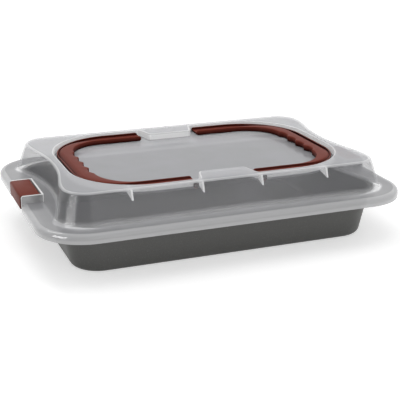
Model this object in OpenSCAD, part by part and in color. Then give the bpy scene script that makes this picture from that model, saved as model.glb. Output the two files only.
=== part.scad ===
// Baking pan with a snap-on carrying lid.
// The origin is on the table under the middle of the pan, with +X along the pan and +Z up.
// The lid rests on the pan's rim, both handles lie in the lid's recess and both latches are shut.

/* [Pan] */
// Length of the pan's base, before its bottom edge is rounded
pan_base_l = 341; // [325:1:350]
// Width of the pan's base, before its bottom edge is rounded
pan_base_w = 226; // [210:1:230]
// Corner radius of the base seen from above
pan_corner_r = 30.7; // [20:1:40]
// Height of the pan to the top of its rim
pan_h = 53.7; // [40:0.5:70]
// How far each wall leans out between base and rim
pan_flare = 11; // [8:0.5:13]
// Outside radius of the bottom edge
pan_edge_r = 7; // [4:0.5:12]
// Thickness of the sheet steel
sheet_t = 0.8; // [0.5:0.1:1.2]
// Width of the flat rim
rim_w = 4; // [3:0.25:5]
// Depth of the rim's turned-down edge
rim_turn = 2.4; // [2:0.1:4]
// Radius of the bend along the rim's edge
rim_edge_r = 1.2; // [0.9:0.1:1.6]

/* [Lid flange] */
// How far the lid reaches past the pan's rim at each end
overhang_l = 24; // [21:0.5:28]
// How far the lid reaches past the pan's rim along each side
overhang_w = 19; // [17:0.5:25]
// Corner radius of the flange seen from above
lid_corner_r = 53; // [40:1:65]
// Wall thickness of the lid moulding
lid_t = 1.8; // [1.4:0.1:2.2]
// Depth of the skirt below the top of the flange
skirt_d = 9.4; // [8:0.2:14]
// Radius of the shoulder between flange and skirt
shoulder_r = 5; // [3:0.5:6]
// Play between the pan's rim and the lid above it
rim_play = 0.3; // [0.2:0.05:0.5]
// Play between the pan's rim and the rib round it
guide_play = 0.5; // [0.3:0.1:1]
// Thickness of the rib that centres the lid on the rim
guide_t = 1.5; // [1:0.1:2]
// Depth of the rib that centres the lid on the rim
guide_d = 2.6; // [2:0.2:5]

/* [Lid dome] */
// How far the deck's ends lie inside the pan's rim
deck_in_l = 6.5; // [3:0.5:10]
// How far the deck's sides lie inside the pan's rim
deck_in_w = 13; // [11:0.5:16]
// Corner radius of the deck seen from above
deck_corner_r = 26; // [18:1:34]
// Height of the deck above the table
deck_z = 88.3; // [84:0.5:100]
// How far the dome's walls lean out between deck and flange
dome_flare = 11.5; // [8:0.5:13]
// Radius of the edge round the deck
deck_edge_r = 4; // [2:0.5:6]
// Radius of the finger scallop in each end wall
scallop_r = 235; // [190:5:300]
// Distance from the recess to the deepest point of a scallop
scallop_land = 11; // [8:0.5:14]
// Smallest inside radius of the moulding
inside_r = 1; // [0.5:0.1:1.5]

/* [Handles] */
// Outside corner radius of a handle
handle_r = 74; // [62:1:84]
// Thickness of a handle from underside to top
handle_t = 6; // [5:0.2:7]
// How far a handle's top lies below the deck
handle_sink = 2.6; // [1.5:0.1:4]
// Width of each arm
arm_w = 19; // [16:0.5:24]
// Width of the grip
grip_w = 22; // [18:0.5:26]
// Inside corner radius where arm and grip meet
grip_r = 42; // [30:1:50]
// Width of the rims along both edges of a handle
handle_rim_w = 2; // [1.5:0.25:3]
// Depth of the channel in a handle's top
channel_d = 2.4; // [1.5:0.1:3]
// Width of the channel's narrow end, beside the grip
channel_w = 1.2; // [1:0.1:3]
// How far the grip's web stands above the handle's rims
crown = 0.8; // [0.2:0.1:1.2]
// Width of the slope between the channel and the grip's web
slope_w = 5; // [3:0.5:8]
// Number of finger grooves in the grip
fingers = 4; // [3:1:5]
// Distance between finger grooves
finger_pitch = 22; // [18:0.5:26]
// Depth of a finger groove
finger_d = 4; // [2:0.25:5]
// Distance from the middle of the lid to each handle's pivot
pivot_x = 39.5; // [39:0.5:46]
// Diameter of a handle's pivot pin
pin_d = 4.2; // [3:0.1:5]
// How far the lug on a pivot pin reaches below the pin's axis
lug_drop = 4.6; // [3.6:0.2:5]
// Thickness of the lug on a pivot pin
lug_t = 1.4; // [1:0.1:2]
// Play between handle and lid
handle_play = 0.4; // [0.3:0.05:0.6]
// Radial play of the handles' pins
pin_play = 0.25; // [0.15:0.05:0.3]
// Width of the slot above each pin's hole
slot_w = 1.6; // [1:0.2:3]

/* [Recess] */
// Width of the deck between the recess and the deck's ends
land_l = 22; // [17:0.5:28]
// Width of the deck between the recess and the deck's sides
land_w = 9; // [8:0.5:14]
// Gap between a grip and the end of the recess
end_gap = 3.5; // [1:0.5:6]
// Gap between an arm and the side of the recess
side_gap = 1.2; // [0.8:0.1:2]
// Length of the deck tab between the arm ends, along the recess wall
tab_l = 66; // [56:1:68]
// How much shorter each end of a tab is at its inner edge
tab_slant = 6; // [2:0.5:10]
// How far a tab reaches in from the recess wall
tab_d = 24; // [16:0.5:28]
// Corner radius of a tab
tab_r = 4; // [3:0.5:8]

/* [Ribs] */
// Distance from the middle to the inner pair of ribs
rib_x_inner = 34; // [33:0.5:34.5]
// Distance from the middle to the outer pair of ribs
rib_x_outer = 112; // [100:1:116]
// Thickness of a rib
rib_t = 2; // [1.4:0.1:2.4]
// Depth of a rib below the deck at the dome's wall
rib_d = 12; // [10.5:0.5:14]
// Depth of a rib below the deck at the recess wall
rib_root_d = 8.5; // [6:0.5:9]

/* [Latches] */
// Width of a latch
clip_w = 56; // [48:1:60]
// How far a latch stands out past the lid's end
clip_out = 1; // [0:0.25:2]
// Height of a latch's top above the flange
clip_rise = 8.8; // [8:0.2:10]
// Length of a latch's outer flap
clip_drop = 15; // [13:0.5:17]
// Thickness of a latch's plate and flap
clip_t = 2.5; // [2:0.1:2.8]
// Radius of the barrel along a latch's hinge
barrel_r = 3; // [2.8:0.1:3.4]
// Distance from a latch's outer face to its hinge
clip_l = 20.3; // [19:0.1:21]
// Diameter of a latch's hinge pins
hinge_pin_d = 3.6; // [2.6:0.1:4]
// How deep a hinge pin sits in its cheek
hinge_pin_l = 1.25; // [1:0.05:1.6]
// Width of the hook leg under a latch
hook_w = 26; // [16:1:36]
// Thickness of the hook leg
hook_t = 2; // [1.6:0.1:2.6]
// Height of the hook's lip
lip_h = 2; // [1.5:0.1:2.5]
// Play between a latch and its housing, all round
clip_play = 0.35; // [0.3:0.05:0.5]
// Radial play of a latch's hinge pins
hinge_play = 0.2; // [0.15:0.05:0.3]
// Thickness of the housing's walls
house_t = 2; // [1.6:0.1:2.4]

/* [Hidden] */
$fn = 64;
past = 1;
round_steps = 5;

pan_lean = atan2(pan_flare, pan_h);
rim_d = pan_flare + rim_w;
rim_l = pan_base_l + 2 * rim_d;
rim_outer_w = pan_base_w + 2 * rim_d;
rim_corner_r = pan_corner_r + rim_d;

lid_l = rim_l + 2 * overhang_l;
lid_w = rim_outer_w + 2 * overhang_w;
deck_l = rim_l - 2 * deck_in_l;
deck_w = rim_outer_w - 2 * deck_in_w;

flange_under = pan_h + rim_play;
flange_z = flange_under + lid_t;
skirt_z = flange_z - skirt_d;
dome_h = deck_z - flange_z;
dome_lean = atan2(dome_flare, dome_h);
wall_t = lid_t / cos(dome_lean);

recess_l = deck_l - 2 * land_l;
recess_w = deck_w - 2 * land_w;
tab_y = recess_w / 2 - tab_d;
scallop_x = recess_l / 2 + scallop_land;
handles_l = recess_l - 2 * end_gap;
handles_w = recess_w - 2 * side_gap;
recess_r = handle_r + side_gap;
handle_z = deck_z - handle_sink - handle_t;
floor_z = handle_z - handle_play;
pivot_r = handle_t / 2;
pivot_z = handle_z + pivot_r;

clip_x = lid_l / 2 + clip_out;
hinge_x = clip_x - clip_l;
clip_z = flange_z + clip_rise;
hinge_z = clip_z - barrel_r;
house_half = clip_w / 2 + clip_play;
house_wall_x = hinge_x - barrel_r - clip_play;
hook_top_z = min(pan_h - rim_turn, flange_under - guide_d) - clip_play;
hook_z = hook_top_z - lip_h;
lip_x = rim_l / 2 + clip_play;

// Points on an arc, from one angle to another
function arc(c, r, from, to) =
    [for (i = [0:round_steps]) c + r * [cos(from + (to - from) * i / round_steps),
                                        sin(from + (to - from) * i / round_steps)]];

// Rounded rectangle seen from above
module plate(l, w, r) {
    square([l - 2 * r, w], center = true);
    square([l, w - 2 * r], center = true);
    for (sx = [-1, 1], sy = [-1, 1])
        translate([sx * (l / 2 - r), sy * (w / 2 - r)])
            circle(r);
}

// Rounded block. Its side profile is a list of [outward offset, height], from bottom to top,
// where offset 0 is the rounded rectangle l by w with corner radius r.
module block(l, w, r, profile) {
    low = profile[0][1];
    high = profile[len(profile) - 1][1];
    rotate([90, 0, 0])
        linear_extrude(w - 2 * r, center = true)
            side(profile, l / 2);
    rotate([90, 0, 90])
        linear_extrude(l - 2 * r, center = true)
            side(profile, w / 2);
    for (i = [0:3])
        translate([(i == 0 || i == 3 ? 1 : -1) * (l / 2 - r), (i < 2 ? 1 : -1) * (w / 2 - r), 0])
            rotate(90 * i)
                rotate_extrude(angle = 90)
                    polygon(concat([[0, low]], [for (p = profile) [r + p[0], p[1]]], [[0, high]]));
}

// Profile with its mirror image, as one closed outline
module side(profile, half) {
    n = len(profile);
    polygon(concat([for (p = profile) [half + p[0], p[1]]],
                   [for (i = [n - 1:-1:0]) [-half - profile[i][0], profile[i][1]]]));
}

// Both ends of the lid, the first copy at -X
module both_ends() {
    children();
    mirror([1, 0, 0])
        children();
}

// Bottom edge of the pan's side profile, inset by the sheet's thickness or by 0
function pan_foot(inset) =
    arc([-pan_edge_r * tan((90 - pan_lean) / 2), pan_edge_r], pan_edge_r - inset, -90, -pan_lean);

// Point of the pan's wall at height z, inset by the sheet's thickness or by 0
function pan_wall(inset, z) = [z * tan(pan_lean) - inset / cos(pan_lean), z];

module pan() {
    under = pan_h - sheet_t;
    lip = rim_d - sheet_t;
    color("dimgray")
        difference() {
            block(pan_base_l, pan_base_w, pan_corner_r,
                  concat(pan_foot(0),
                         [pan_wall(0, under), [lip, under], [lip, pan_h - rim_turn], [rim_d, pan_h - rim_turn]],
                         arc([rim_d - rim_edge_r, pan_h - rim_edge_r], rim_edge_r, 0, 90)));
            block(pan_base_l, pan_base_w, pan_corner_r,
                  concat(pan_foot(sheet_t), [pan_wall(sheet_t, pan_h + past)]));
        }
}

// Dome with its scallops, inset by 0 outside and by the wall thickness inside
module dome_form(inset, low) {
    side_inset = inset / cos(dome_lean);
    r = max(deck_edge_r - inset, inside_r);
    top = deck_z - inset;
    drop = top - low;
    centre = [-side_inset - r * tan((90 - dome_lean) / 2), top - r];
    difference() {
        block(deck_l, deck_w, deck_corner_r,
              concat([[(drop + inset) * tan(dome_lean) - side_inset, low]],
                     arc(centre, r, dome_lean, 90)));
        both_ends()
            translate([-scallop_x - scallop_r, 0, low - past])
                cylinder(h = drop + 2 * past, r = scallop_r + inset, $fn = 128);
    }
}

// Flange with its skirt and shoulder, inset by 0 outside and by the wall thickness inside
module flange_form(inset, low) {
    r = shoulder_r - inset;
    block(lid_l, lid_w, lid_corner_r,
          concat([[-inset, low]], arc([-shoulder_r, flange_z - shoulder_r], r, 0, 90)));
}

// Outline of the recess, grown by 0 for the recess itself and by the wall thickness for its wall
module recess_plan(grow) {
    difference() {
        plate(recess_l + 2 * grow, recess_w + 2 * grow, recess_r + grow);
        for (sy = [0, 1])
            mirror([0, sy])
                tab_plan(grow);
    }
}

// Tab of the deck between the arm ends on the +Y side, shrunk by grow
module tab_plan(grow) {
    slant = atan2(tab_slant, recess_w / 2 - tab_y);
    r = max(tab_r - grow, inside_r);
    near_y = tab_y + grow;
    far_y = recess_w;
    corner = [tab_half(near_y + r, slant, grow) - r / cos(slant), near_y + r];
    edge = concat(arc(corner, r, -90, -slant), [[tab_half(far_y, slant, grow), far_y]]);
    polygon(concat(edge, [for (i = [len(edge) - 1:-1:0]) [-edge[i][0], edge[i][1]]]));
}

// Half the length of a tab at height y in its plan
function tab_half(y, slant, grow) =
    tab_l / 2 - tab_slant + (y - tab_y) * tan(slant) - grow / cos(slant);

// Ribs under the deck's long edges, between recess wall and dome wall
module ribs() {
    outer_y = deck_w / 2 - lid_t / 2;
    for (x = [-rib_x_outer, -rib_x_inner, rib_x_inner, rib_x_outer], sy = [0, 1])
        mirror([0, sy, 0])
            translate([x, 0, 0])
                rotate([90, 0, 90])
                    linear_extrude(rib_t, center = true)
                        polygon([[rib_root(x), deck_z - lid_t / 2],
                                 [outer_y, deck_z - lid_t / 2],
                                 [outer_y + rib_d * tan(dome_lean), deck_z - rib_d],
                                 [rib_root(x), deck_z - rib_root_d]]);
}

// Where a rib at x meets the recess wall
function rib_root(x) =
    let (over = max(abs(x) - (recess_l / 2 - recess_r), 0))
    recess_w / 2 - recess_r + sqrt(pow(recess_r, 2) - pow(over, 2)) + lid_t / 2;

// Cheeks and inner wall round one latch, at -X
module housing() {
    for (sy = [-1, 1])
        translate([0, sy * (house_half + house_t / 2), 0])
            rotate([90, 0, 0])
                linear_extrude(house_t, center = true)
                    cheek();
    translate([-house_wall_x, -house_half - house_t, flange_under])
        cube([house_t, 2 * (house_half + house_t), clip_z - flange_under]);
}

// Side view of a cheek, rounded at its outer top corner
module cheek() {
    r = clip_t;
    polygon(concat([[-house_wall_x + past / 2, skirt_z], [-house_wall_x + past / 2, clip_z]],
                   arc([r - lid_l / 2, clip_z - r], r, 90, 180),
                   [[-lid_l / 2, skirt_z]]));
}

// Opening for one latch through flange and skirt, at -X
module latch_gap() {
    translate([-lid_l / 2 - past, -house_half, skirt_z - past])
        cube([lid_l / 2 + past - house_wall_x, 2 * house_half, clip_z - skirt_z + 2 * past]);
}

module lid() {
    color("gainsboro", 0.6)
        difference() {
            union() {
                difference() {
                    union() {
                        flange_form(0, skirt_z);
                        dome_form(0, flange_under);
                    }
                    flange_form(lid_t, skirt_z - past);
                    difference() {
                        dome_form(lid_t, flange_under - past);
                        translate([0, 0, floor_z - lid_t])
                            linear_extrude(deck_z - floor_z + lid_t)
                                recess_plan(lid_t);
                        ribs();
                    }
                    translate([0, 0, floor_z])
                        linear_extrude(deck_z - floor_z + past)
                            recess_plan(0);
                }
                guide();
                both_ends()
                    housing();
            }
            both_ends()
                latch_gap();
            both_ends()
                bore(-hinge_x, hinge_z, hinge_pin_d / 2 + hinge_play,
                     house_half - past / 2, house_half + house_t + past / 2);
            both_ends()
                bore(-pivot_x, pivot_z, pin_d / 2 + pin_play,
                     recess_w / 2 - past / 2, recess_w / 2 + lid_t + past / 2);
            for (sx = [-1, 1], sy = [-1, 1])
                translate([sx * pivot_x, sy * (recess_w + lid_t) / 2, pivot_z + deck_z / 2])
                    cube([slot_w, lid_t + past, deck_z], center = true);
        }
}

// Rib under the flange that keeps the lid centred on the rim
module guide() {
    outer = guide_play + guide_t;
    translate([0, 0, flange_under - guide_d])
        linear_extrude(guide_d + lid_t / 2)
            difference() {
                plate(rim_l + 2 * outer, rim_outer_w + 2 * outer, rim_corner_r + outer);
                plate(rim_l + 2 * guide_play, rim_outer_w + 2 * guide_play,
                      rim_corner_r + guide_play);
            }
}

// Cylinder along Y at x and z, from y0 to y1 and mirrored on the other side
module bore(x, z, r, y0, y1) {
    for (sy = [-1, 1])
        translate([x, sy * (y0 + y1) / 2, z])
            rotate([90, 0, 0])
                cylinder(h = y1 - y0, r = r, center = true);
}

// One handle seen from above, at -X, with its outer edge moved in by inset
module handle_plan(inset) {
    difference() {
        plate(handles_l - 2 * inset, handles_w - 2 * inset, handle_r - inset);
        opening_plan();
        translate([-pivot_x + pivot_r, -handles_w])
            square([handles_l, 2 * handles_w]);
    }
}

// Opening inside both handles, with the finger grooves of the grip at -X
module opening_plan() {
    r = (pow(finger_pitch / 2, 2) + pow(finger_d, 2)) / (2 * finger_d);
    plate(handles_l - 2 * grip_w, handles_w - 2 * arm_w, grip_r);
    for (i = [0:fingers - 1])
        translate([grip_w - handles_l / 2 + r - finger_d, (i - (fingers - 1) / 2) * finger_pitch])
            circle(r);
}

// Grip's web with the slope on its outer side. Along the arms it narrows to their inner rims.
module web() {
    low = handle_z + handle_t - channel_d - past / 2;
    high = handle_z + handle_t;
    inner_w = handles_w - 2 * arm_w;
    rim_r = grip_r + handle_rim_w;
    foot_l = handles_l - 2 * (handle_rim_w + channel_w);
    difference() {
        union() {
            block(foot_l, inner_w + 2 * handle_rim_w, rim_r,
                  [[0, low], [0, low + past / 2], [-slope_w, high + crown]]);
            translate([0, 0, low])
                linear_extrude(high - low)
                    plate(foot_l - 2 * slope_w, inner_w + 2 * handle_rim_w, rim_r);
        }
        translate([0, 0, low - past])
            linear_extrude(handle_t + past)
                opening_plan();
        translate([-pivot_x + pivot_r - past, -handles_w, low - past])
            cube([handles_l, 2 * handles_w, handle_t + past]);
    }
}

module handle() {
    floor_h = handle_t - channel_d;
    color("saddlebrown") {
        intersection() {
            union() {
                translate([0, 0, handle_z])
                    linear_extrude(floor_h)
                        handle_plan(0);
                translate([0, 0, handle_z + floor_h - past / 2])
                    linear_extrude(channel_d + past / 2)
                        difference() {
                            handle_plan(0);
                            handle_plan(handle_rim_w);
                        }
                web();
            }
            arm_ends();
        }
        bore(-pivot_x, pivot_z, pin_d / 2, handles_w / 2 - past, lug_y() + lug_t / 2);
        for (sy = [-1, 1])
            translate([-pivot_x, sy * (lug_y() + lug_t / 2), pivot_z])
                rotate([90, 0, 0])
                    linear_extrude(lug_t, center = true)
                        lug_plan();
    }
}

// Side view of a lug: a strap with round ends that hangs from the pin
module lug_plan() {
    drop = lug_drop - pivot_r;
    circle(pivot_r);
    translate([0, -drop])
        circle(pivot_r);
    translate([-pivot_r, -drop])
        square([2 * pivot_r, drop]);
}

// Where the lug on a pivot pin begins, behind the recess wall
function lug_y() = recess_w / 2 + lid_t + handle_play;

// Room that a handle may fill, with its arm ends rounded about the pivot
module arm_ends() {
    translate([-handles_l, -handles_w, handle_z - past])
        cube([handles_l - pivot_x, 2 * handles_w, handle_t + crown + 2 * past]);
    translate([-pivot_x, 0, pivot_z])
        rotate([90, 0, 0])
            cylinder(h = 2 * handles_w, r = pivot_r, center = true);
}

module left_handle() {
    handle();
}

module right_handle() {
    rotate(180)
        handle();
}

// Side view of a latch at -X: barrel, plate and flap
module clip_profile() {
    translate([-hinge_x, hinge_z])
        circle(barrel_r);
    polygon(concat([[-hinge_x, clip_z]],
                   arc([clip_t - clip_x, clip_z - clip_t], clip_t, 90, 180),
                   [[-clip_x, clip_z - clip_drop],
                    [clip_t - clip_x, clip_z - clip_drop],
                    [clip_t - clip_x, clip_z - clip_t],
                    [-hinge_x, clip_z - clip_t]]));
}

// Side view of the hook leg and its lip
module hook_profile() {
    polygon([[-hinge_x - hook_t / 2, hinge_z],
             [-hinge_x + hook_t / 2, hinge_z],
             [-hinge_x + hook_t / 2, hook_top_z],
             [-lip_x, hook_top_z],
             [-lip_x - lip_h / 2, hook_z],
             [-hinge_x - hook_t / 2, hook_z]]);
}

module clip() {
    color("saddlebrown")
        rotate([90, 0, 0]) {
            linear_extrude(clip_w, center = true)
                clip_profile();
            linear_extrude(hook_w, center = true)
                hook_profile();
            translate([-hinge_x, hinge_z, 0])
                cylinder(h = clip_w + 2 * (clip_play + hinge_pin_l), d = hinge_pin_d, center = true);
        }
}

module left_clip() {
    clip();
}

module right_clip() {
    rotate(180)
        clip();
}

pan();
lid();
left_handle();
right_handle();
left_clip();
right_clip();
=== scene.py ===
import math

import bmesh
import bpy
from mathutils import Matrix, Vector


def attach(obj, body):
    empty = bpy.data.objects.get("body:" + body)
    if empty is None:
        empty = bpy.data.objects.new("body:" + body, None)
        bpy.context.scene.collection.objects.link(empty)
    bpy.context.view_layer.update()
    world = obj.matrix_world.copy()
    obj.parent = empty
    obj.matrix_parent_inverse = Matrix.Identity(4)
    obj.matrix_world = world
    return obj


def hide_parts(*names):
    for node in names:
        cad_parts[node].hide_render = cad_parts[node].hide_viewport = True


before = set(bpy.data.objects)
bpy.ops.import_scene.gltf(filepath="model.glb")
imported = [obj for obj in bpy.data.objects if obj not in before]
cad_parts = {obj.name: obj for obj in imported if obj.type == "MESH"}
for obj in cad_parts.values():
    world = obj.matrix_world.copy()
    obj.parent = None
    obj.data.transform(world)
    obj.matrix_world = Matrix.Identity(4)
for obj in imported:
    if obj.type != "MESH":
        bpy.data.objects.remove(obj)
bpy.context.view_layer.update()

mm = 0.001  # pieces are drawn in millimetres
tiny = 0.001  # millimetres that count as none
print("frame loaded:", sorted(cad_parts))


photoView = {
    "target": (6.73, -2.62, 25.82), "distance": 1121.06,
    "azimuth": -21.5, "elevation": 18.95, "roll": 0.31,
    "lens": 85.13, "near": 0.01, "far": 50,
}


def placeCamera(view):
    azimuth, elevation, roll = (math.radians(view[k]) for k in ("azimuth", "elevation", "roll"))
    back = Vector((math.sin(azimuth) * math.cos(elevation),
                   -math.cos(azimuth) * math.cos(elevation),
                   math.sin(elevation)))
    level = Vector((math.cos(azimuth), math.sin(azimuth), 0))
    upright = back.cross(level)
    right = level * math.cos(roll) + upright * math.sin(roll)
    up = upright * math.cos(roll) - level * math.sin(roll)
    camera = bpy.data.cameras.new("studioCamera")
    camera.lens = view["lens"]
    camera.clip_start, camera.clip_end = view["near"], view["far"]
    holder = bpy.data.objects.new("studioCamera", camera)
    place = Matrix((right, up, back)).transposed().to_4x4()
    place.translation = (Vector(view["target"]) + back * view["distance"]) * mm
    holder.matrix_world = place
    bpy.context.scene.collection.objects.link(holder)
    bpy.context.scene.camera = holder


placeCamera(photoView)
print("camera placed")


def softMin(a, b, blend):
    h = max(blend - abs(a - b), 0) / blend
    return min(a, b) - h * h * blend / 4


def softMax(a, b, blend):
    return -softMin(-a, -b, blend)


def arcPoints(centre, radius, start, end, steps):
    return [(centre[0] + radius * math.cos(math.radians(start + (end - start) * k / steps)),
             centre[1] + radius * math.sin(math.radians(start + (end - start) * k / steps)))
            for k in range(steps + 1)]


def circle(radius, centre=(0, 0), count=24):
    return arcPoints(centre, radius, 0, 360, count)[:-1]


def spread(start, end, count):
    return [start + (end - start) * k / count for k in range(count + 1)]


def sideStops(fixed, reach, count):
    outer = spread(fixed[-1], reach, count)[1:]
    half = list(fixed) + outer
    return [-s for s in reversed(half[1:])] + half


def planRing(plan, offset, fixedAcross, fixedAlong, cornerSteps=18, spreadSteps=9):
    halfL, halfW, radius = plan
    ring = []
    for quarter in range(4):
        turn = math.radians(90 * quarter)
        out = Vector((round(math.cos(turn)), round(math.sin(turn))))
        along = Vector((-out.y, out.x))
        even = quarter % 2 == 0
        half, reach = (halfL, halfW - radius) if even else (halfW, halfL - radius)
        for t in sideStops(fixedAcross if even else fixedAlong, reach, spreadSteps):
            ring.append(out * (half + offset) + along * t)
        centre = out * (half - radius) + along * reach
        for k in range(1, cornerSteps):
            a = turn + math.pi / 2 * k / cornerSteps
            ring.append(centre + Vector((math.cos(a), math.sin(a))) * (radius + offset))
    return ring


brownSharp = 40  # degrees at which the brown mouldings' edges stay sharp


def newPiece(name, mesh, sharpAngle=34):
    bmesh.ops.recalc_face_normals(mesh, faces=mesh.faces[:])
    data = bpy.data.meshes.new(name)
    mesh.to_mesh(data)
    mesh.free()
    data.transform(Matrix.Scale(mm, 4))
    data.shade_smooth()
    data.set_sharp_from_angle(angle=math.radians(sharpAngle))
    piece = bpy.data.objects.new(name, data)
    bpy.context.scene.collection.objects.link(piece)
    return piece


def addGrid(mesh, rings, closed=True):
    rows = [[mesh.verts.new(p) for p in ring] for ring in rings]
    for low, high in zip(rows, rows[1:]):
        count = len(low)
        for j in range(count if closed else count - 1):
            k = (j + 1) % count
            mesh.faces.new((low[j], low[k], high[k], high[j]))
    return rows


def addLoft(mesh, sections):
    rows = addGrid(mesh, sections)
    mesh.faces.new(list(reversed(rows[0])))
    mesh.faces.new(rows[-1])


roundedFrom = math.radians(35)  # prism edges that turn more than this are rounded


def addPrism(mesh, outline, place, low, high, bevel=0.0, bevelSteps=2):
    ends = [[mesh.verts.new(place(u, v, w)) for u, v in outline] for w in (low, high)]
    count = len(outline)
    faces = [mesh.faces.new(ends[0][::-1]), mesh.faces.new(ends[1])]
    for j in range(count):
        k = (j + 1) % count
        faces.append(mesh.faces.new((ends[0][j], ends[0][k], ends[1][k], ends[1][j])))
    if bevel:
        bmesh.ops.recalc_face_normals(mesh, faces=faces)
        edges = dict.fromkeys(e for f in faces for e in f.edges)  # keeps their order, unlike a set
        sharp = [e for e in edges if e.calc_face_angle(0) > roundedFrom]
        bmesh.ops.bevel(mesh, geom=sharp, offset=bevel, offset_type="OFFSET", segments=bevelSteps,
                        profile=0.5, affect="EDGES", clamp_overlap=True)


def alongY(u, v, w):
    return Vector((u, w, v))


def alongX(u, v, w):
    return Vector((w, u, v))


lidMould = {
    # plans are half length, half width and corner radius
    "flange": (209.5, 147, 53), "deck": (179, 115, 26), "recess": (157, 106, 75.2),
    "apron": (199, 135.5, 45),  # ring on the flange between its edge and the dome
    "wall": 1.8, "skirtZ": 46.4, "skirtRows": (0, 0.4, 3), "flangeZ": 55.8, "shoulder": 5,
    "foot": 3, "deckZ": 88.3, "lean": 19.49, "deckEdge": 4,
    "scallopRadius": 235, "scallopX": 168, "scallopBlend": 5,
    "recessEdge": 1.3, "innerEdge": 0.4, "floorZ": 79.3, "floorEdge": 1.6,
    "tabY": 82, "tabInner": 27, "tabOuter": 33, "tabBlend": 9, "tabZone": 60,
    "notchX": 185.85, "notchY": 29.35, "notchFade": (31.5, 75), "endZone": 180,
    "shoulderStrip": 1.5, "footStrip": 1.2, "strip": 0.8,  # flat strips that hold a plane face plane at a bend
    "steps": {"shoulder": 9, "foot": 7, "wall": 6, "deckEdge": 8, "lip": 5, "floor": 5},
    "deckFrom": 6, "highlightFrom": 3,  # steps of the deck edge at which the deck's frost and the painted highlight start
    "uprightRise": 2, "uprightThick": 0.8,  # the recess sides are seen nearly edge-on, so they get most of the painted white glow
    "frost": {"flange": 1.0, "wall": 0.0, "deck": 0.6, "recess": 0.55},  # milkiness of each zone
    # painted highlight: whitening and glow along each bend
    "bend": {"skirt": 0.35, "shoulder": 0.25, "foot": 0.3, "deckEdge": 0.38, "lip": 0.5},
}
# places of the rings' points on the short and the long sides, close together at the notches and the tabs
lidAcross = [0, 7, 14, 21, 26, 29.35, 30.4]
lidAlong = [0, 8, 15, 20, 23] + spread(24.4, 36.4, 20) + [38, 40, 44, 50, 58, 68]


def lidRing(plan, offset):
    return planRing(plan, offset, lidAcross, lidAlong)


def scalloped(ring, limit):
    v = lidMould
    cut = []
    for p in ring:
        sag = v["scallopRadius"] - math.sqrt(v["scallopRadius"] ** 2 - p.y ** 2)
        reach = softMin(abs(p.x), limit + sag, v["scallopBlend"])
        cut.append(Vector((math.copysign(reach, p.x), p.y)))
    return cut


def tabbed(offset):
    v = lidMould
    steep = (v["recess"][1] - v["tabY"]) / (v["tabOuter"] - v["tabInner"])
    ring = []
    for p in lidRing(v["recess"], offset):
        if abs(p.x) < v["tabZone"]:
            flank = v["tabY"] + (abs(p.x) - v["tabInner"]) * steep + offset * math.hypot(1, steep)
            tab = softMax(v["tabY"] + offset, flank, v["tabBlend"])
            y = softMin(v["recess"][1] + offset, tab, v["tabBlend"])
            p = Vector((p.x, math.copysign(y, p.y)))
        ring.append(p)
    return ring


def apronRing():
    v = lidMould
    near, far = v["notchFade"]
    ring = []
    for p in lidRing(v["apron"], 0):
        if abs(p.x) > v["endZone"] and abs(p.y) < far:
            t = min(max((abs(p.y) - near) / (far - near), 0), 1)
            t = t * t * (3 - 2 * t)
            x = v["notchX"] + (abs(p.x) - v["notchX"]) * t
            p = Vector((math.copysign(x, p.x), p.y))
        ring.append(p)
    return ring


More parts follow.
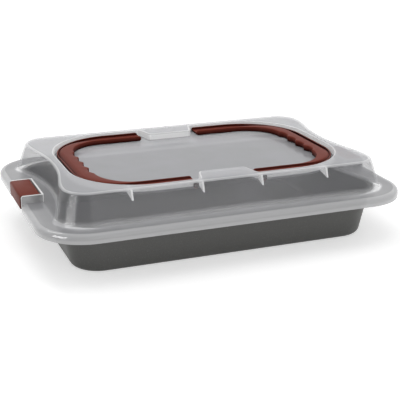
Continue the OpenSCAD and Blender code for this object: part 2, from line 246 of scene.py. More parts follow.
def lidSkin(depth):
    v = lidMould
    slope = math.tan(math.radians(v["lean"]))
    secant = 1 / math.cos(math.radians(v["lean"]))
    flangeZ, deckZ = v["flangeZ"] - depth, v["deckZ"] - depth
    steps, strip, bendHighlights = v["steps"], v["strip"], v["bend"]
    rings, masks, starts = [], [], {}

    # bend sets how strong the painted highlight along a bend is
    def put(ring, z, zone, bend=0):
        rings.append([Vector((p.x, p.y, z)) for p in ring])
        masks.append((v["frost"][zone], bend))

    for rise in v["skirtRows"]:
        put(lidRing(v["flange"], -depth), v["skirtZ"] + rise, "flange", bendHighlights["skirt"])
    shoulderC = (-v["shoulder"], v["flangeZ"] - v["shoulder"])
    for offset, z in arcPoints(shoulderC, v["shoulder"] - depth, 0, 90, steps["shoulder"]):
        put(lidRing(v["flange"], offset), z, "flange", bendHighlights["shoulder"])
    put(lidRing(v["flange"], -v["shoulder"] - v["shoulderStrip"]), flangeZ, "flange")
    starts["apron"] = len(rings)
    put(apronRing(), flangeZ, "flange")

    def dome(offset, z, zone="wall", bend=0):
        wall = (v["deckZ"] - z) * slope - depth * secant
        put(scalloped(lidRing(v["deck"], offset), v["scallopX"] - depth + offset - wall), z, zone, bend)

    footC = ((v["deckZ"] - v["flangeZ"] - v["foot"]) * slope + v["foot"] * secant, v["flangeZ"] + v["foot"])
    dome(footC[0] + v["footStrip"], flangeZ, "flange")
    foot = arcPoints(footC, v["foot"] + depth, -90, -180 + v["lean"], steps["foot"])
    for offset, z in foot:
        dome(offset, z, "wall", bendHighlights["foot"])
    edgeR = v["deckEdge"] - depth
    edgeC = (-depth * secant - edgeR * math.tan(math.radians(45 - v["lean"] / 2)), deckZ - edgeR)
    edge = arcPoints(edgeC, edgeR, v["lean"], 90, steps["deckEdge"])
    for z in spread(foot[-1][1], edge[0][1], steps["wall"])[1:-1]:
        dome((v["deckZ"] - z) * slope - depth * secant, z)
    for k, (offset, z) in enumerate(edge):
        zone = "deck" if k >= v["deckFrom"] else "wall"
        dome(offset, z, zone, bendHighlights["deckEdge"] if k >= v["highlightFrom"] else 0)
    dome(edge[-1][0] - strip, deckZ, "deck")

    def recess(offset, z, zone="recess", bend=0):
        put(tabbed(offset), z, zone, bend)

    starts["recess"] = len(rings)
    lipR = v["innerEdge"] if depth else v["recessEdge"]
    lipC = (depth + lipR, deckZ - lipR)
    recess(lipC[0] + strip, deckZ, "deck")
    for offset, z in arcPoints(lipC, lipR, 90, 180, steps["lip"]):
        recess(offset, z, "recess", bendHighlights["lip"])
    floorC = (-v["floorEdge"], v["floorZ"] + v["floorEdge"])
    recess(depth, (lipC[1] + floorC[1]) / 2)
    for offset, z in arcPoints(floorC, v["floorEdge"] + depth, 0, -90, steps["floor"]):
        recess(offset, z)
    recess(floorC[0] - strip, v["floorZ"] - depth)
    return rings, masks, starts


def addLidShell(mesh):
    v = lidMould
    skins, masks, (starts, _) = zip(*(lidSkin(depth) for depth in (0, v["wall"])))
    outer = skins[0]
    count, last = len(outer[0]), len(outer) - 1

    def inNotch(i, j):
        a, b = outer[i][j], outer[i][(j + 1) % count]
        return (i < starts["apron"] and abs(a.x) > v["endZone"]
                and max(abs(a.y), abs(b.y)) <= v["notchY"] + tiny)

    rows = [[[mesh.verts.new(p) for p in ring] for ring in skin] for skin in skins]
    frostOf, highlightOf = (mesh.verts.layers.float[name] for name in ("frost", "bend"))
    for row, mask in zip(rows, masks):
        for verts, (frost, bend) in zip(row, mask):
            for vert in verts:
                vert[frostOf], vert[highlightOf] = frost, bend
    edgeOn = mesh.faces.layers.float["thick"]
    uses = {}
    for i in range(last):
        for j in range(count):
            if inNotch(i, j):
                continue
            k = (j + 1) % count
            corners = [(i, j), (i, k), (i + 1, k), (i + 1, j)]
            upright = i >= starts["recess"] and abs(outer[i + 1][j].z - outer[i][j].z) > v["uprightRise"]
            for n, row in enumerate(rows):
                face = [row[a][b] for a, b in corners]
                mesh.faces.new(face if n == 0 else face[::-1])[edgeOn] = v["uprightThick"] if upright else 0
            for a, b in zip(corners, corners[1:] + corners[:1]):
                uses.setdefault(frozenset((a, b)), []).append((a, b))
    for row, turned in zip(rows, (False, True)):
        mesh.faces.new(row[last][::-1] if turned else row[last])
    for pair in uses.values():
        (a, b), = pair[:1]
        if len(pair) == 1 and not a[0] == b[0] == last:
            rim = mesh.faces.new((rows[0][b[0]][b[1]], rows[0][a[0]][a[1]],
                                  rows[1][a[0]][a[1]], rows[1][b[0]][b[1]]))
            rim[edgeOn] = 1
    loose = [vert for vert in mesh.verts if not vert.link_faces]
    bmesh.ops.delete(mesh, geom=loose, context="VERTS")


lidRibs = {"inner": 34, "outer": 112, "thick": 2, "wallDepth": 12, "recessDepth": 8.5, "bevel": 0.35}


def addRibs(mesh):
    v, m = lidRibs, lidMould
    slope = math.tan(math.radians(m["lean"]))
    top = m["deckZ"] - m["wall"] / 2
    outerY = m["deck"][1] - m["wall"] / 2
    for x in (-v["outer"], -v["inner"], v["inner"], v["outer"]):
        over = max(abs(x) - (m["recess"][0] - m["recess"][2]), 0)
        root = (m["recess"][1] - m["recess"][2] + math.sqrt(m["recess"][2] ** 2 - over ** 2)
                + m["wall"] / 2)
        for side in (-1, 1):
            outline = [(side * root, top), (side * outerY, top),
                       (side * (outerY + v["wallDepth"] * slope), m["deckZ"] - v["wallDepth"]),
                       (side * root, m["deckZ"] - v["recessDepth"])]
            addPrism(mesh, outline, alongX, x - v["thick"] / 2, x + v["thick"] / 2, v["bevel"])


lidHousing = {
    "half": 28.35, "thick": 2, "innerX": 186.85, "top": 64.6, "bottom": 46.4, "corner": 2.5, "cornerSteps": 6,
    "end": 209.5, "bevel": 0.45, "under": 54.9, "inset": 0.3,
    "broadFace": 2.2, "broadThick": 0.15,  # faces this wide are seen through, the others are edges with the full painted white glow
}
rimGuide = {"plan": (185.5, 128, 45.7), "gap": 0.5, "thick": 1.5, "low": 51.4, "high": 54.9,
            "cornerSteps": 12, "sideSteps": 6}


def addHousings(mesh):
    v = lidHousing
    for end in (-1, 1):
        inner = v["innerX"] - v["thick"] + v["inset"]
        cornerC = (v["end"] - v["corner"], v["top"] - v["corner"])
        cheek = [(inner, v["bottom"]), (inner, v["top"])]
        cheek += arcPoints(cornerC, v["corner"], 90, 0, v["cornerSteps"]) + [(v["end"], v["bottom"])]
        cheek = [(end * x, z) for x, z in cheek]
        for side in (-1, 1):
            low, high = sorted((side * v["half"], side * (v["half"] + v["thick"])))
            addPrism(mesh, cheek, alongY, low, high, v["bevel"])
        reach = v["half"] + v["thick"] / 2
        low, high = sorted((end * v["innerX"], end * (v["innerX"] - v["thick"])))
        wall = [(low, v["under"]), (high, v["under"]), (high, v["top"]), (low, v["top"])]
        addPrism(mesh, wall, alongY, -reach, reach, v["bevel"])


def addRimGuide(mesh):
    v = rimGuide
    near, far = v["gap"], v["gap"] + v["thick"]
    rings = []
    for offset, z in ((near, v["low"]), (far, v["low"]), (far, v["high"]), (near, v["high"])):
        ring = planRing(v["plan"], offset, [0], [0], v["cornerSteps"], v["sideSteps"])
        rings.append([Vector((p.x, p.y, z)) for p in ring])
    rows = [[mesh.verts.new(p) for p in ring] for ring in rings]
    for low, high in zip(rows, rows[1:] + rows[:1]):
        for j in range(len(low)):
            k = (j + 1) % len(low)
            mesh.faces.new((low[j], low[k], high[k], high[j]))


def buildLid():
    mesh = bmesh.new()
    mesh.verts.layers.float.new("bend")
    frost = mesh.verts.layers.float.new("frost")
    thick = mesh.faces.layers.float.new("thick")  # 1 where the plastic is seen edge-on; it carries the painted white glow
    addLidShell(mesh)
    shell = set(mesh.faces)
    addRibs(mesh)
    addHousings(mesh)
    addRimGuide(mesh)
    v = lidHousing
    for face in mesh.faces:
        if face not in shell:
            atEnd = abs(face.calc_center_median().x) > lidMould["endZone"]
            broad = atEnd and 2 * face.calc_area() / face.calc_perimeter() > v["broadFace"]
            face[thick] = v["broadThick"] if broad else 1
            for vert in face.verts:
                vert[frost] = lidMould["frost"]["flange"]
    return newPiece("mouldedLid", mesh)


panSheet = {
    "base": (170.5, 113, 30.7), "height": 53.7, "flare": 11, "bottomEdge": 7, "sheet": 0.8,
    "rimWidth": 4, "rimTurn": 2.4, "rimEdge": 1.2, "rimBend": 1.6, "bendShift": 0.85,
    "strip": 1, "floorInset": 22,  # rings that hold the floor plane
    "throat": (0.15, 0.5, 0.4), "innerNick": 0.2, "edgeNick": 0.1, "wallTop": 2, "wallFoot": 10,
    "across": [0, 40], "along": [0, 60],
    "steps": {"bottom": 9, "wall": 6, "rim": 6, "bend": 5, "inside": 8, "corner": 16, "side": 5},
}


def buildPan():
    v = panSheet
    lean = math.degrees(math.atan2(v["flare"], v["height"]))
    slope, secant = v["flare"] / v["height"], 1 / math.cos(math.radians(lean))
    centre = (-v["bottomEdge"] * math.tan(math.radians((90 - lean) / 2)), v["bottomEdge"])
    under, low, rimD = v["height"] - v["sheet"], v["height"] - v["rimTurn"], v["flare"] + v["rimWidth"]
    lip, nick, steps, (back, drop, out) = rimD - v["sheet"], v["edgeNick"], v["steps"], v["throat"]
    outside = [(centre[0] - v["floorInset"], 0), (centre[0] - v["strip"], 0)]
    outside += arcPoints(centre, v["bottomEdge"], -90, -lean, steps["bottom"])
    outside += [(z * slope, z) for z in spread(outside[-1][1], under - v["wallTop"], steps["wall"])[1:]]
    outside += [(under * slope - back, under - drop), (under * slope + out, under)]
    outside += [(lip - v["innerNick"], under), (lip, under - v["innerNick"]), (lip, low + nick),
                (lip + nick, low), (rimD - nick, low), (rimD, low + nick)]
    rimC = (rimD - v["rimEdge"], v["height"] - v["rimEdge"])
    outside += arcPoints(rimC, v["rimEdge"], 0, 90, steps["rim"])
    skin = v["sheet"] * secant  # the sheet's thickness measured level
    bendC = (v["height"] * slope - skin + v["rimBend"] * v["bendShift"], v["height"] - v["rimBend"])
    inside = arcPoints(bendC, v["rimBend"], 90, 180 - lean, steps["bend"])
    inside += [(z * slope - skin, z) for z in spread(inside[-1][1] - v["strip"], v["wallFoot"], steps["wall"])]
    inside += arcPoints(centre, v["bottomEdge"] - v["sheet"], -lean, -90, steps["inside"])
    inside += [(centre[0] - v["strip"], v["sheet"]), (centre[0] - v["floorInset"], v["sheet"])]
    rings = []
    for offset, z in outside + inside:
        ring = planRing(v["base"], offset, v["across"], v["along"], steps["corner"], steps["side"])
        rings.append([Vector((p.x, p.y, z)) for p in ring])
    mesh = bmesh.new()
    addLoft(mesh, rings)
    return newPiece("coatedPan", mesh)


handleMould = {
    "outer": (153.5, 104.8, 74), "inner": (131.5, 85.8, 42),
    "webFoot": (150.3, 87.8, 44), "webTop": (145.3, 87.8, 44),
    "low": 79.7, "thick": 6, "rim": 2, "channel": 2.4, "crown": 0.8,
    "edge": 0.7, "rimEdge": 0.45, "gripEdge": 1.5, "armX": 39.5,
    "crestGap": 0.6, "crestSpan": 4.4,  # width over which the web rises from the channel to its crown
    "softness": (0.35, 0.9), "dip": (0.12, 0.15), "footFillet": 0.3, "underEdge": (0.15, 0.5),
    "webFootEdge": (0.1, 0.25), "strip": 1,
    "fingers": 4, "pitch": 22, "groove": 4, "grooveBlend": 1.2,
    "pin": 4.2, "pinRoot": 0.6, "pinTip": 0.5, "lugStart": 108.2, "lugThick": 1.4, "lugRadius": 3,
    "lugDrop": 4.6, "lugBevel": 0.3,
    "endTurn": 86, "steps": {"end": 10, "arm": 16, "bend": 30, "grip": 110, "edge": 5, "rim": 3, "lug": 14},
}


def insidePlan(plan, p):
    halfL, halfW, radius = plan
    dx, dy = abs(p.x) - (halfL - radius), abs(p.y) - (halfW - radius)
    outside = math.hypot(max(dx, 0), max(dy, 0)) + min(max(dx, dy), 0)
    return radius - outside  # distance inside the outline


def crossing(plan, start, end):
    low, high, halvings = 0.0, 1.0, 24  # start lies outside the outline and end inside it
    for _ in range(halvings):
        middle = (low + high) / 2
        if insidePlan(plan, start.lerp(end, middle)) < 0:
            low = middle
        else:
            high = middle
    return high * (end - start).length


def fingerEdge(y):
    v = handleMould
    radius = ((v["pitch"] / 2) ** 2 + v["groove"] ** 2) / (2 * v["groove"])
    depth = 0.0
    for k in range(v["fingers"]):
        off = y - (k - (v["fingers"] - 1) / 2) * v["pitch"]
        if abs(off) < radius:
            depth = softMax(depth, math.sqrt(radius ** 2 - off ** 2) - radius + v["groove"], v["grooveBlend"])
    return depth


def handleStations():
    v = handleMould
    oL, oW, oR = v["outer"]
    iL, iW, iR = v["inner"]
    steps = v["steps"]
    stations = []  # outer point, inner point, roundness of the arm's end
    for turn in reversed(spread(0, math.radians(v["endTurn"]), steps["end"])):
        x = -v["armX"] + math.sin(turn) * v["thick"] / 2
        stations.append((Vector((x, oW)), Vector((x, iW)), math.cos(turn)))
    for t in spread(0, 1, steps["arm"])[1:]:
        stations.append((Vector((-v["armX"] + (v["armX"] - (oL - oR)) * t, oW)),
                         Vector((-v["armX"] + (v["armX"] - (iL - iR)) * t, iW)), 1))
    for turn in spread(math.pi / 2, math.pi, steps["bend"])[1:]:
        a = Vector((math.cos(turn), math.sin(turn)))
        stations.append((Vector((-(oL - oR), oW - oR)) + a * oR, Vector((-(iL - iR), iW - iR)) + a * iR, 1))
    half = len(stations)
    for t in spread(1, -1, steps["grip"])[1:-1]:
        y = t * (iW - iR)
        stations.append((Vector((-oL, t * (oW - oR))), Vector((-iL - fingerEdge(y), y)), 1))
    for o, i, r in reversed(stations[:half]):
        stations.append((Vector((o.x, -o.y)), Vector((i.x, -i.y)), r))
    return stations


def handleSection(outer, inner, roundness):
    v = handleMould
    width = (inner - outer).length
    top, channel = v["thick"], v["thick"] - v["channel"]
    foot = crossing(v["webFoot"], outer, inner)
    crest = max(crossing(v["webTop"], outer, inner), foot + v["crestGap"])
    share = min(max((crest - foot - v["crestGap"]) / v["crestSpan"], 0), 1)
    webZ = top + v["crown"] * share
    e = v["edge"]
    g = e + (v["gripEdge"] - e) * share
    soft = v["softness"][0] + v["softness"][1] * share
    dip, deeper = v["dip"]
    (near, far), (back, rise) = v["underEdge"], v["webFootEdge"]
    fillet, rimEdge, steps = v["footFillet"], v["rimEdge"], v["steps"]
    profile = [(0, far), (near, near), (far, 0), (width - far, 0), (width - near, near), (width, far)]
    profile += [(width, webZ - g - v["strip"])]
    profile += arcPoints((width - g, webZ - g), g, 0, 90, steps["edge"])
    profile += [((crest + soft + width - g) / 2, webZ + dip * share)]
    profile += [(crest + soft, webZ), (crest, webZ - dip - deeper * share),
                ((foot + crest) / 2, (webZ + channel) / 2),
                (foot + back, channel + rise), (foot - rise, channel)]
    profile += [(v["rim"] + fillet, channel), (v["rim"], channel + fillet), (v["rim"], top - far)]
    profile += arcPoints((v["rim"] - rimEdge, top - rimEdge), rimEdge, 0, 90, steps["rim"])[1:]
    profile += arcPoints((e, top - e), e, 90, 180, steps["edge"])
    profile += [(0, top - e - v["strip"])]
    middle = v["thick"] / 2
    across = (inner - outer).normalized()
    points = []
    for u, z in profile:
        z = middle + max(z - middle, -middle * roundness)
        if roundness < 1:
            z = min(z, middle + middle * roundness)
        p = outer + across * u
        points.append(Vector((p.x, p.y, v["low"] + z)))
    return points


def addHandlePins(mesh):
    v = handleMould
    axisZ = v["low"] + v["thick"] / 2
    for side in (-1, 1):
        def place(u, w, y):
            return Vector((u - v["armX"], side * y, w + axisZ))
        lug = (arcPoints((0, 0), v["lugRadius"], 0, 180, v["steps"]["lug"])
               + arcPoints((0, v["lugRadius"] - v["lugDrop"]), v["lugRadius"], 180, 360, v["steps"]["lug"]))
        addPrism(mesh, lug, place, v["lugStart"], v["lugStart"] + v["lugThick"], v["lugBevel"])
        addPrism(mesh, circle(v["pin"] / 2), place, v["outer"][1] - v["pinRoot"], v["lugStart"] + v["pinTip"])


def buildHandle(name, turned):
    mesh = bmesh.new()
    addLoft(mesh, [handleSection(*s) for s in handleStations()])
    bmesh.ops.remove_doubles(mesh, verts=mesh.verts[:], dist=tiny)  # points that meet at the rounded arm ends
    addHandlePins(mesh)
    if turned:
        bmesh.ops.rotate(mesh, cent=(0, 0, 0), matrix=Matrix.Rotation(math.pi, 3, "Z"), verts=mesh.verts[:])
    return newPiece(name, mesh, brownSharp)


latchMould = {
    "hinge": (190.2, 61.6), "barrel": 3, "top": 64.6, "outX": 210.5, "thick": 2.5, "drop": 15,
    "halfWidth": 28, "edge": 0.5, "innerFillet": 1.4,
    "hookHalf": 13, "hookThick": 2, "hookTop": 50.95, "hookLow": 48.95, "hookEdge": 0.3,
    "lipX": 185.85, "lipLead": 1, "pin": 3.6, "pinReach": 29.6,
    "topFlat": 7, "steps": {"outer": 8, "inner": 5, "barrel": 20, "edge": 3},
}


def buildLatch(name, end):
    v = latchMould
    hx, hz = v["hinge"]
    top, thick, out, steps = v["top"], v["thick"], v["outX"], v["steps"]
    f = v["innerFillet"]
    outline = [(hx, top), (hx + v["topFlat"], top)]
    outline += arcPoints((out - thick, top - thick), thick, 90, 0, steps["outer"])
    outline += [(out, top - v["drop"]), (out - thick, top - v["drop"])]
    outline += arcPoints((out - thick - f, top - thick - f), f, 0, 90, steps["inner"])
    start = math.degrees(math.asin((v["barrel"] - thick) / v["barrel"]))
    outline += arcPoints((hx, hz), v["barrel"], start, -270, steps["barrel"])[:-1]
    hook = [(hx + v["hookThick"] / 2, hz), (hx - v["hookThick"] / 2, hz),
            (hx - v["hookThick"] / 2, v["hookTop"]), (v["lipX"], v["hookTop"]),
            (v["lipX"] + v["lipLead"], v["hookLow"]), (hx + v["hookThick"] / 2, v["hookLow"])]
    mesh = bmesh.new()

    def place(u, w, y):
        return Vector((end * u, y, w))
    addPrism(mesh, outline, place, -v["halfWidth"], v["halfWidth"], v["edge"], steps["edge"])
    addPrism(mesh, hook, place, -v["hookHalf"], v["hookHalf"], v["hookEdge"])
    addPrism(mesh, circle(v["pin"] / 2, v["hinge"]), place, -v["pinReach"], v["pinReach"])
    return newPiece(name, mesh, brownSharp)


def chain(tree, kind, *values, **settings):
    node = tree.nodes.new(kind)
    for key, value in settings.items():
        setattr(node, key, value)
    for key, value in values:
        target = node.inputs[key]
        if isinstance(value, bpy.types.NodeSocket):
            tree.links.new(value, target)
        else:
            target.default_value = value
    return node


def maths(tree, operation, *values, **settings):
    return chain(tree, "ShaderNodeMath", *enumerate(values), operation=operation, **settings).outputs[0]


def mixValue(tree, share, low, high):
    return chain(tree, "ShaderNodeMix", (0, share), (2, low), (3, high)).outputs[0]


def mixColour(tree, share, *colours):
    low, high = (c if isinstance(c, bpy.types.NodeSocket) else (*c, 1) for c in colours)
    return chain(tree, "ShaderNodeMix", (0, share), (6, low), (7, high), data_type="RGBA").outputs[2]


def mapped(tree, value, fromMin, fromMax, toMin=0, toMax=1, **settings):
    return chain(tree, "ShaderNodeMapRange", ("Value", value), ("From Min", fromMin), ("From Max", fromMax),
                 ("To Min", toMin), ("To Max", toMax), **settings).outputs[0]


def noise(tree, place, scale, detail, roughness):
    return chain(tree, "ShaderNodeTexNoise", ("Vector", place), ("Scale", scale), ("Detail", detail),
                 ("Roughness", roughness)).outputs["Fac"]


def inMillimetres(tree, place):
    return chain(tree, "ShaderNodeVectorMath", (0, place), (3, 1 / mm), operation="SCALE").outputs[0]


def newGroup(name, inputs, outputs):
    group = bpy.data.node_groups.new(name, "ShaderNodeTree")
    group.interface.new_socket(name="Place", in_out="INPUT", socket_type="NodeSocketVector")
    for label, value in inputs.items():
        item = group.interface.new_socket(name=label, in_out="INPUT", socket_type="NodeSocketFloat")
        item.default_value = value
    for label in outputs:
        group.interface.new_socket(name=label, in_out="OUTPUT", socket_type="NodeSocketFloat")
    start, end = group.nodes.new("NodeGroupInput"), group.nodes.new("NodeGroupOutput")
    return group, start.outputs, end.inputs, inMillimetres(group, start.outputs["Place"])


mouldGrain = {
    "name": "mouldGrain",
    "inputs": {"Grain Size": 0.5, "Ripple Size": 12.0, "Ripple": 0.5},
    "fine": (2.0, 0.55), "wide": (1.0, 0.4),  # noise detail and roughness
}


def mouldGrainGroup():
    v = mouldGrain
    group, start, end, place = newGroup(v["name"], v["inputs"], ["Height"])
    fine = noise(group, place, maths(group, "DIVIDE", 1.0, start["Grain Size"]), *v["fine"])
    wide = noise(group, place, maths(group, "DIVIDE", 1.0, start["Ripple Size"]), *v["wide"])
    group.links.new(maths(group, "MULTIPLY_ADD", wide, start["Ripple"], fine), end["Height"])
    return group


handlingMarks = {
    "name": "handlingMarks",
    "inputs": {"Clouds": 0.5, "Scratches": 0.3, "Roughness": 0.3},
    "cloudScale": 0.02, "cloud": (3.0, 0.5), "cloudMiddle": 0.5,
    "scratchTurn": (0.3, 0.2, 0.7), "scratchScale": (0.03, 1.1, 0.6), "scratch": (4.0, 0.7),
    "scratchFrom": 0.60, "scratchTo": 0.72,
}


def handlingGroup():
    v = handlingMarks
    group, start, end, place = newGroup(v["name"], v["inputs"], ["Roughness Out", "Cloud Mask"])
    clouds = noise(group, place, v["cloudScale"], *v["cloud"])
    turned = chain(group, "ShaderNodeMapping", ("Vector", place), ("Rotation", v["scratchTurn"]),
                   ("Scale", v["scratchScale"])).outputs[0]
    lines = mapped(group, noise(group, turned, 1.0, *v["scratch"]), v["scratchFrom"], v["scratchTo"])
    centred = maths(group, "SUBTRACT", clouds, v["cloudMiddle"])
    cloudy = maths(group, "MULTIPLY_ADD", centred, start["Clouds"], start["Roughness"])
    scratched = maths(group, "ADD", cloudy, maths(group, "MULTIPLY", lines, start["Scratches"]), use_clamp=True)
    group.links.new(scratched, end["Roughness Out"])
    group.links.new(clouds, end["Cloud Mask"])
    return group


grainGroup, marksGroup = mouldGrainGroup(), handlingGroup()
grainDepth = 0.0002  # metres


def newMaterial(name, look):
    material = bpy.data.materials.new(name)
    material.use_nodes = True
    tree = material.node_tree
    shader = tree.nodes["Principled BSDF"].inputs
    place = tree.nodes.new("ShaderNodeTexCoord").outputs["Object"]
    grain = chain(tree, "ShaderNodeGroup", ("Place", place), ("Grain Size", look["grain"]),
                  ("Ripple", look["ripple"]), node_tree=grainGroup)
    bump = chain(tree, "ShaderNodeBump", ("Height", grain.outputs["Height"]), ("Distance", grainDepth),
                 ("Strength", look["bump"]))
    tree.links.new(bump.outputs["Normal"], shader["Normal"])
    marks = chain(tree, "ShaderNodeGroup", ("Place", place), ("Clouds", look["clouds"]),
                  ("Scratches", look["scratches"]), ("Roughness", look["roughness"]), node_tree=marksGroup)
    tree.links.new(marks.outputs["Roughness Out"], shader["Roughness"])
    return material, tree, shader, place, marks.outputs["Cloud Mask"]


brownPlastic = {
    "colour": (0.180, 0.037, 0.024), "streak": (0.210, 0.046, 0.031),
    # groove is a near-black painted shade, laid in crevices and gaps that ambient occlusion finds within
    # shadeReach
    "groove": (0.030, 0.003, 0.002), "shadeReach": 0.007, "shadeFrom": 0.55, "shadeTo": 0.98, "rays": 8,
    "specular": 0.03, "coat": 0.01, "coatRoughness": 0.22,
    "roughness": 0.38, "clouds": 0.12, "scratches": 0.12, "grain": 0.45, "ripple": 0.6, "bump": 0.045,
}


def brownFinish():
    v = brownPlastic
    material, tree, shader, _, clouds = newMaterial("redBrownPlastic", v)
    # painted shade: the brown darkens towards the groove colour where ambient occlusion finds surfaces close by
    exposed = chain(tree, "ShaderNodeAmbientOcclusion", ("Distance", v["shadeReach"]), samples=v["rays"])
    unshaded = mapped(tree, exposed.outputs["AO"], v["shadeFrom"], v["shadeTo"])
    plain = mixColour(tree, clouds, v["colour"], v["streak"])
    tree.links.new(mixColour(tree, unshaded, v["groove"], plain), shader["Base Color"])
    shader["Specular IOR Level"].default_value = v["specular"]
    shader["Coat Weight"].default_value = v["coat"]
    shader["Coat Roughness"].default_value = v["coatRoughness"]
    return material


milkyPlastic = {
    "colour": (0.555, 0.566, 0.575), "cloudColour": (0.515, 0.512, 0.552),
    "flangeShadeColour": (0.385, 0.387, 0.40), "flangeFrom": 0.75,  # frost from which the flange's painted shade, a darker grey, comes in
    "thickColour": (0.95, 0.95, 0.95), "paintedEdgeGlow": 0.25,  # painted glow: edges, ribs and housings turn near white and give off light as if lit from inside the plastic
    "alphaFacing": 0.18, "alphaGrazing": 0.36, "alphaFrost": 0.77, "alphaThick": 0.72,
    "alphaSwing": 0.03, "swingFrom": 0.3, "swingTo": 0.7, "blend": 0.5,
    "roughness": 0.14, "clouds": 0.08, "scratches": 0.10, "grain": 0.8, "ripple": 2.5, "bump": 0.02,
}


def milkyFinish():
    v = milkyPlastic
    material, tree, shader, _, clouds = newMaterial("milkyPlastic", v)
    edgeOn, bend, frost = (chain(tree, "ShaderNodeAttribute", attribute_name=name).outputs["Fac"]
                           for name in ("thick", "bend", "frost"))
    # painted highlight and glow: edge-on faces and bends turn near white and emit light
    thick = maths(tree, "MAXIMUM", edgeOn, bend)
    cloudy = mixColour(tree, clouds, v["colour"], v["cloudColour"])
    # painted shade: the frosted flange, housings and ribs take a darker grey
    grey = mixColour(tree, mapped(tree, frost, v["flangeFrom"], 1), cloudy, v["flangeShadeColour"])
    tree.links.new(mixColour(tree, thick, grey, v["thickColour"]), shader["Base Color"])
    facing = chain(tree, "ShaderNodeLayerWeight", ("Blend", v["blend"])).outputs["Facing"]
    thin = mapped(tree, facing, 0, 1, v["alphaFacing"], v["alphaGrazing"])
    hazy = mixValue(tree, frost, thin, v["alphaFrost"])
    swing = mapped(tree, clouds, v["swingFrom"], v["swingTo"], -v["alphaSwing"], v["alphaSwing"])
    alpha = mixValue(tree, thick, maths(tree, "ADD", hazy, swing), v["alphaThick"])
    tree.links.new(alpha, shader["Alpha"])
    tree.links.new(mixColour(tree, thick, (0, 0, 0), v["thickColour"]), shader["Emission Color"])
    shader["Emission Strength"].default_value = v["paintedEdgeGlow"]
    return material


coatedSteel = {
    "colour": (0.162, 0.162, 0.156), "fleck": (0.24, 0.24, 0.232),
    "fleckScale": 1.4, "fleckNoise": (2.0, 0.5), "fleckFrom": 0.56, "fleckTo": 0.78,
    "metallic": 0.08, "specular": 0.15,
    "roughness": 0.42, "clouds": 0.14, "scratches": 0.18, "grain": 0.35, "ripple": 1.6, "bump": 0.06,
}


def steelFinish():
    v = coatedSteel
    material, tree, shader, place, _ = newMaterial("coatedSteel", v)
    flecks = noise(tree, inMillimetres(tree, place), v["fleckScale"], *v["fleckNoise"])
    spots = mapped(tree, flecks, v["fleckFrom"], v["fleckTo"])
    tree.links.new(mixColour(tree, spots, v["colour"], v["fleck"]), shader["Base Color"])
    shader["Metallic"].default_value = v["metallic"]
    shader["Specular IOR Level"].default_value = v["specular"]
    return material


brown, milky, steel = brownFinish(), milkyFinish(), steelFinish()
print("finishes made")

for build, node, body, slotName, material in (
    (buildPan, "pan", "pan", "coated_steel", steel),
    (buildLid, "lid", "lid", "milky_plastic", milky),
    (lambda: buildHandle("leftHandle", False), "left_handle", "left_handle", "brown_plastic", brown),
    (lambda: buildHandle("rightHandle", True), "right_handle", "right_handle", "brown_plastic", brown),
    (lambda: buildLatch("leftLatch", -1), "left_clip", "left_clip", "brown_plastic", brown),
    (lambda: buildLatch("rightLatch", 1), "right_clip", "right_clip", "brown_plastic", brown),
):
    piece = build()
    piece.data.materials.append(material)
    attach(piece, body)
    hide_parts(node)
    print(piece.name, "made:", len(piece.data.polygons), "faces")


studio = {
    "floorSize": 12, "floorColour": (0.80, 0.80, 0.80), "floorRoughness": 0.9, "floorWhite": 0.52,
    # the world is dim in front and below and bright above and behind
    "lightAxis": (0.1, 0.5, 0.86), "dim": 0.06, "bright": 0.82, "turnFrom": -0.3, "turnTo": 0.95,
    "lamps": [  # name, place, aimed at, width, height, watts
        ("softboxBack", (-0.5, 1.5, 1.9), (0, 0, 0.06), 0.7, 0.7, 8),
        ("softboxTop", (0.2, 0.1, 2.2), (0, 0, 0.06), 1.4, 1.4, 6),
        ("softboxFront", (0.45, -1.9, 0.62), (0, 0, 0.05), 1.1, 0.9, 5.7),
        ("softboxCorner", (-1.93, -0.62, 0.68), (-0.15, 0, 0.07), 1.2, 1.3, 58),
    ],
    "onlyReflected": "softboxCorner",
}


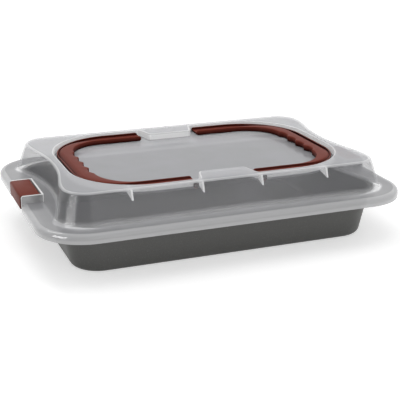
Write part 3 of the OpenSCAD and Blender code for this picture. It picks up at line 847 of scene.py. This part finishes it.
def whiteWhenSeen(tree, value):
    ray = tree.nodes.new("ShaderNodeLightPath").outputs
    mirrored = maths(tree, "MAXIMUM", ray["Is Glossy Ray"], ray["Is Transmission Ray"])
    return maths(tree, "MULTIPLY", maths(tree, "MAXIMUM", ray["Is Camera Ray"], mirrored), value)


def buildFloor(v):
    half = v["floorSize"] / 2
    mesh = bpy.data.meshes.new("studioFloor")
    corners = [(-half, -half, 0), (half, -half, 0), (half, half, 0), (-half, half, 0)]
    mesh.from_pydata(corners, [], [(0, 1, 2, 3)])
    floor = bpy.data.objects.new("studioFloor", mesh)
    bpy.context.scene.collection.objects.link(floor)
    material = bpy.data.materials.new("studioFloor")
    material.use_nodes = True
    tree = material.node_tree
    shader = tree.nodes["Principled BSDF"].inputs
    shader["Base Color"].default_value = (*v["floorColour"], 1)
    shader["Roughness"].default_value = v["floorRoughness"]
    shader["Specular IOR Level"].default_value = 0.0
    shader["Emission Color"].default_value = (1, 1, 1, 1)
    tree.links.new(whiteWhenSeen(tree, v["floorWhite"]), shader["Emission Strength"])
    floor.data.materials.append(material)


def lightStudio(v):
    for name, place, aim, width, height, watts in v["lamps"]:
        lamp = bpy.data.lights.new(name, "AREA")
        lamp.shape, lamp.size, lamp.size_y, lamp.energy = "RECTANGLE", width, height, watts
        holder = bpy.data.objects.new(name, lamp)
        holder.location = place
        holder.visible_diffuse = name != v["onlyReflected"]
        holder.rotation_euler = (Vector(place) - Vector(aim)).to_track_quat("Z", "Y").to_euler()
        bpy.context.scene.collection.objects.link(holder)
    world = bpy.data.worlds.new("studioWorld")
    world.use_nodes = True
    tree = world.node_tree
    around = tree.nodes.new("ShaderNodeTexCoord").outputs["Generated"]
    towards = chain(tree, "ShaderNodeVectorMath", (0, around), (1, v["lightAxis"]), operation="DOT_PRODUCT")
    soft = mapped(tree, towards.outputs["Value"], v["turnFrom"], v["turnTo"], v["dim"], v["bright"],
                  interpolation_type="SMOOTHSTEP")
    background = tree.nodes["Background"].inputs
    background["Color"].default_value = (1, 1, 1, 1)
    tree.links.new(maths(tree, "MAXIMUM", whiteWhenSeen(tree, 1.0), soft), background["Strength"])
    bpy.context.scene.world = world
    bpy.context.scene.view_settings.view_transform = "Standard"


buildFloor(studio)
lightStudio(studio)
print("studio lit")
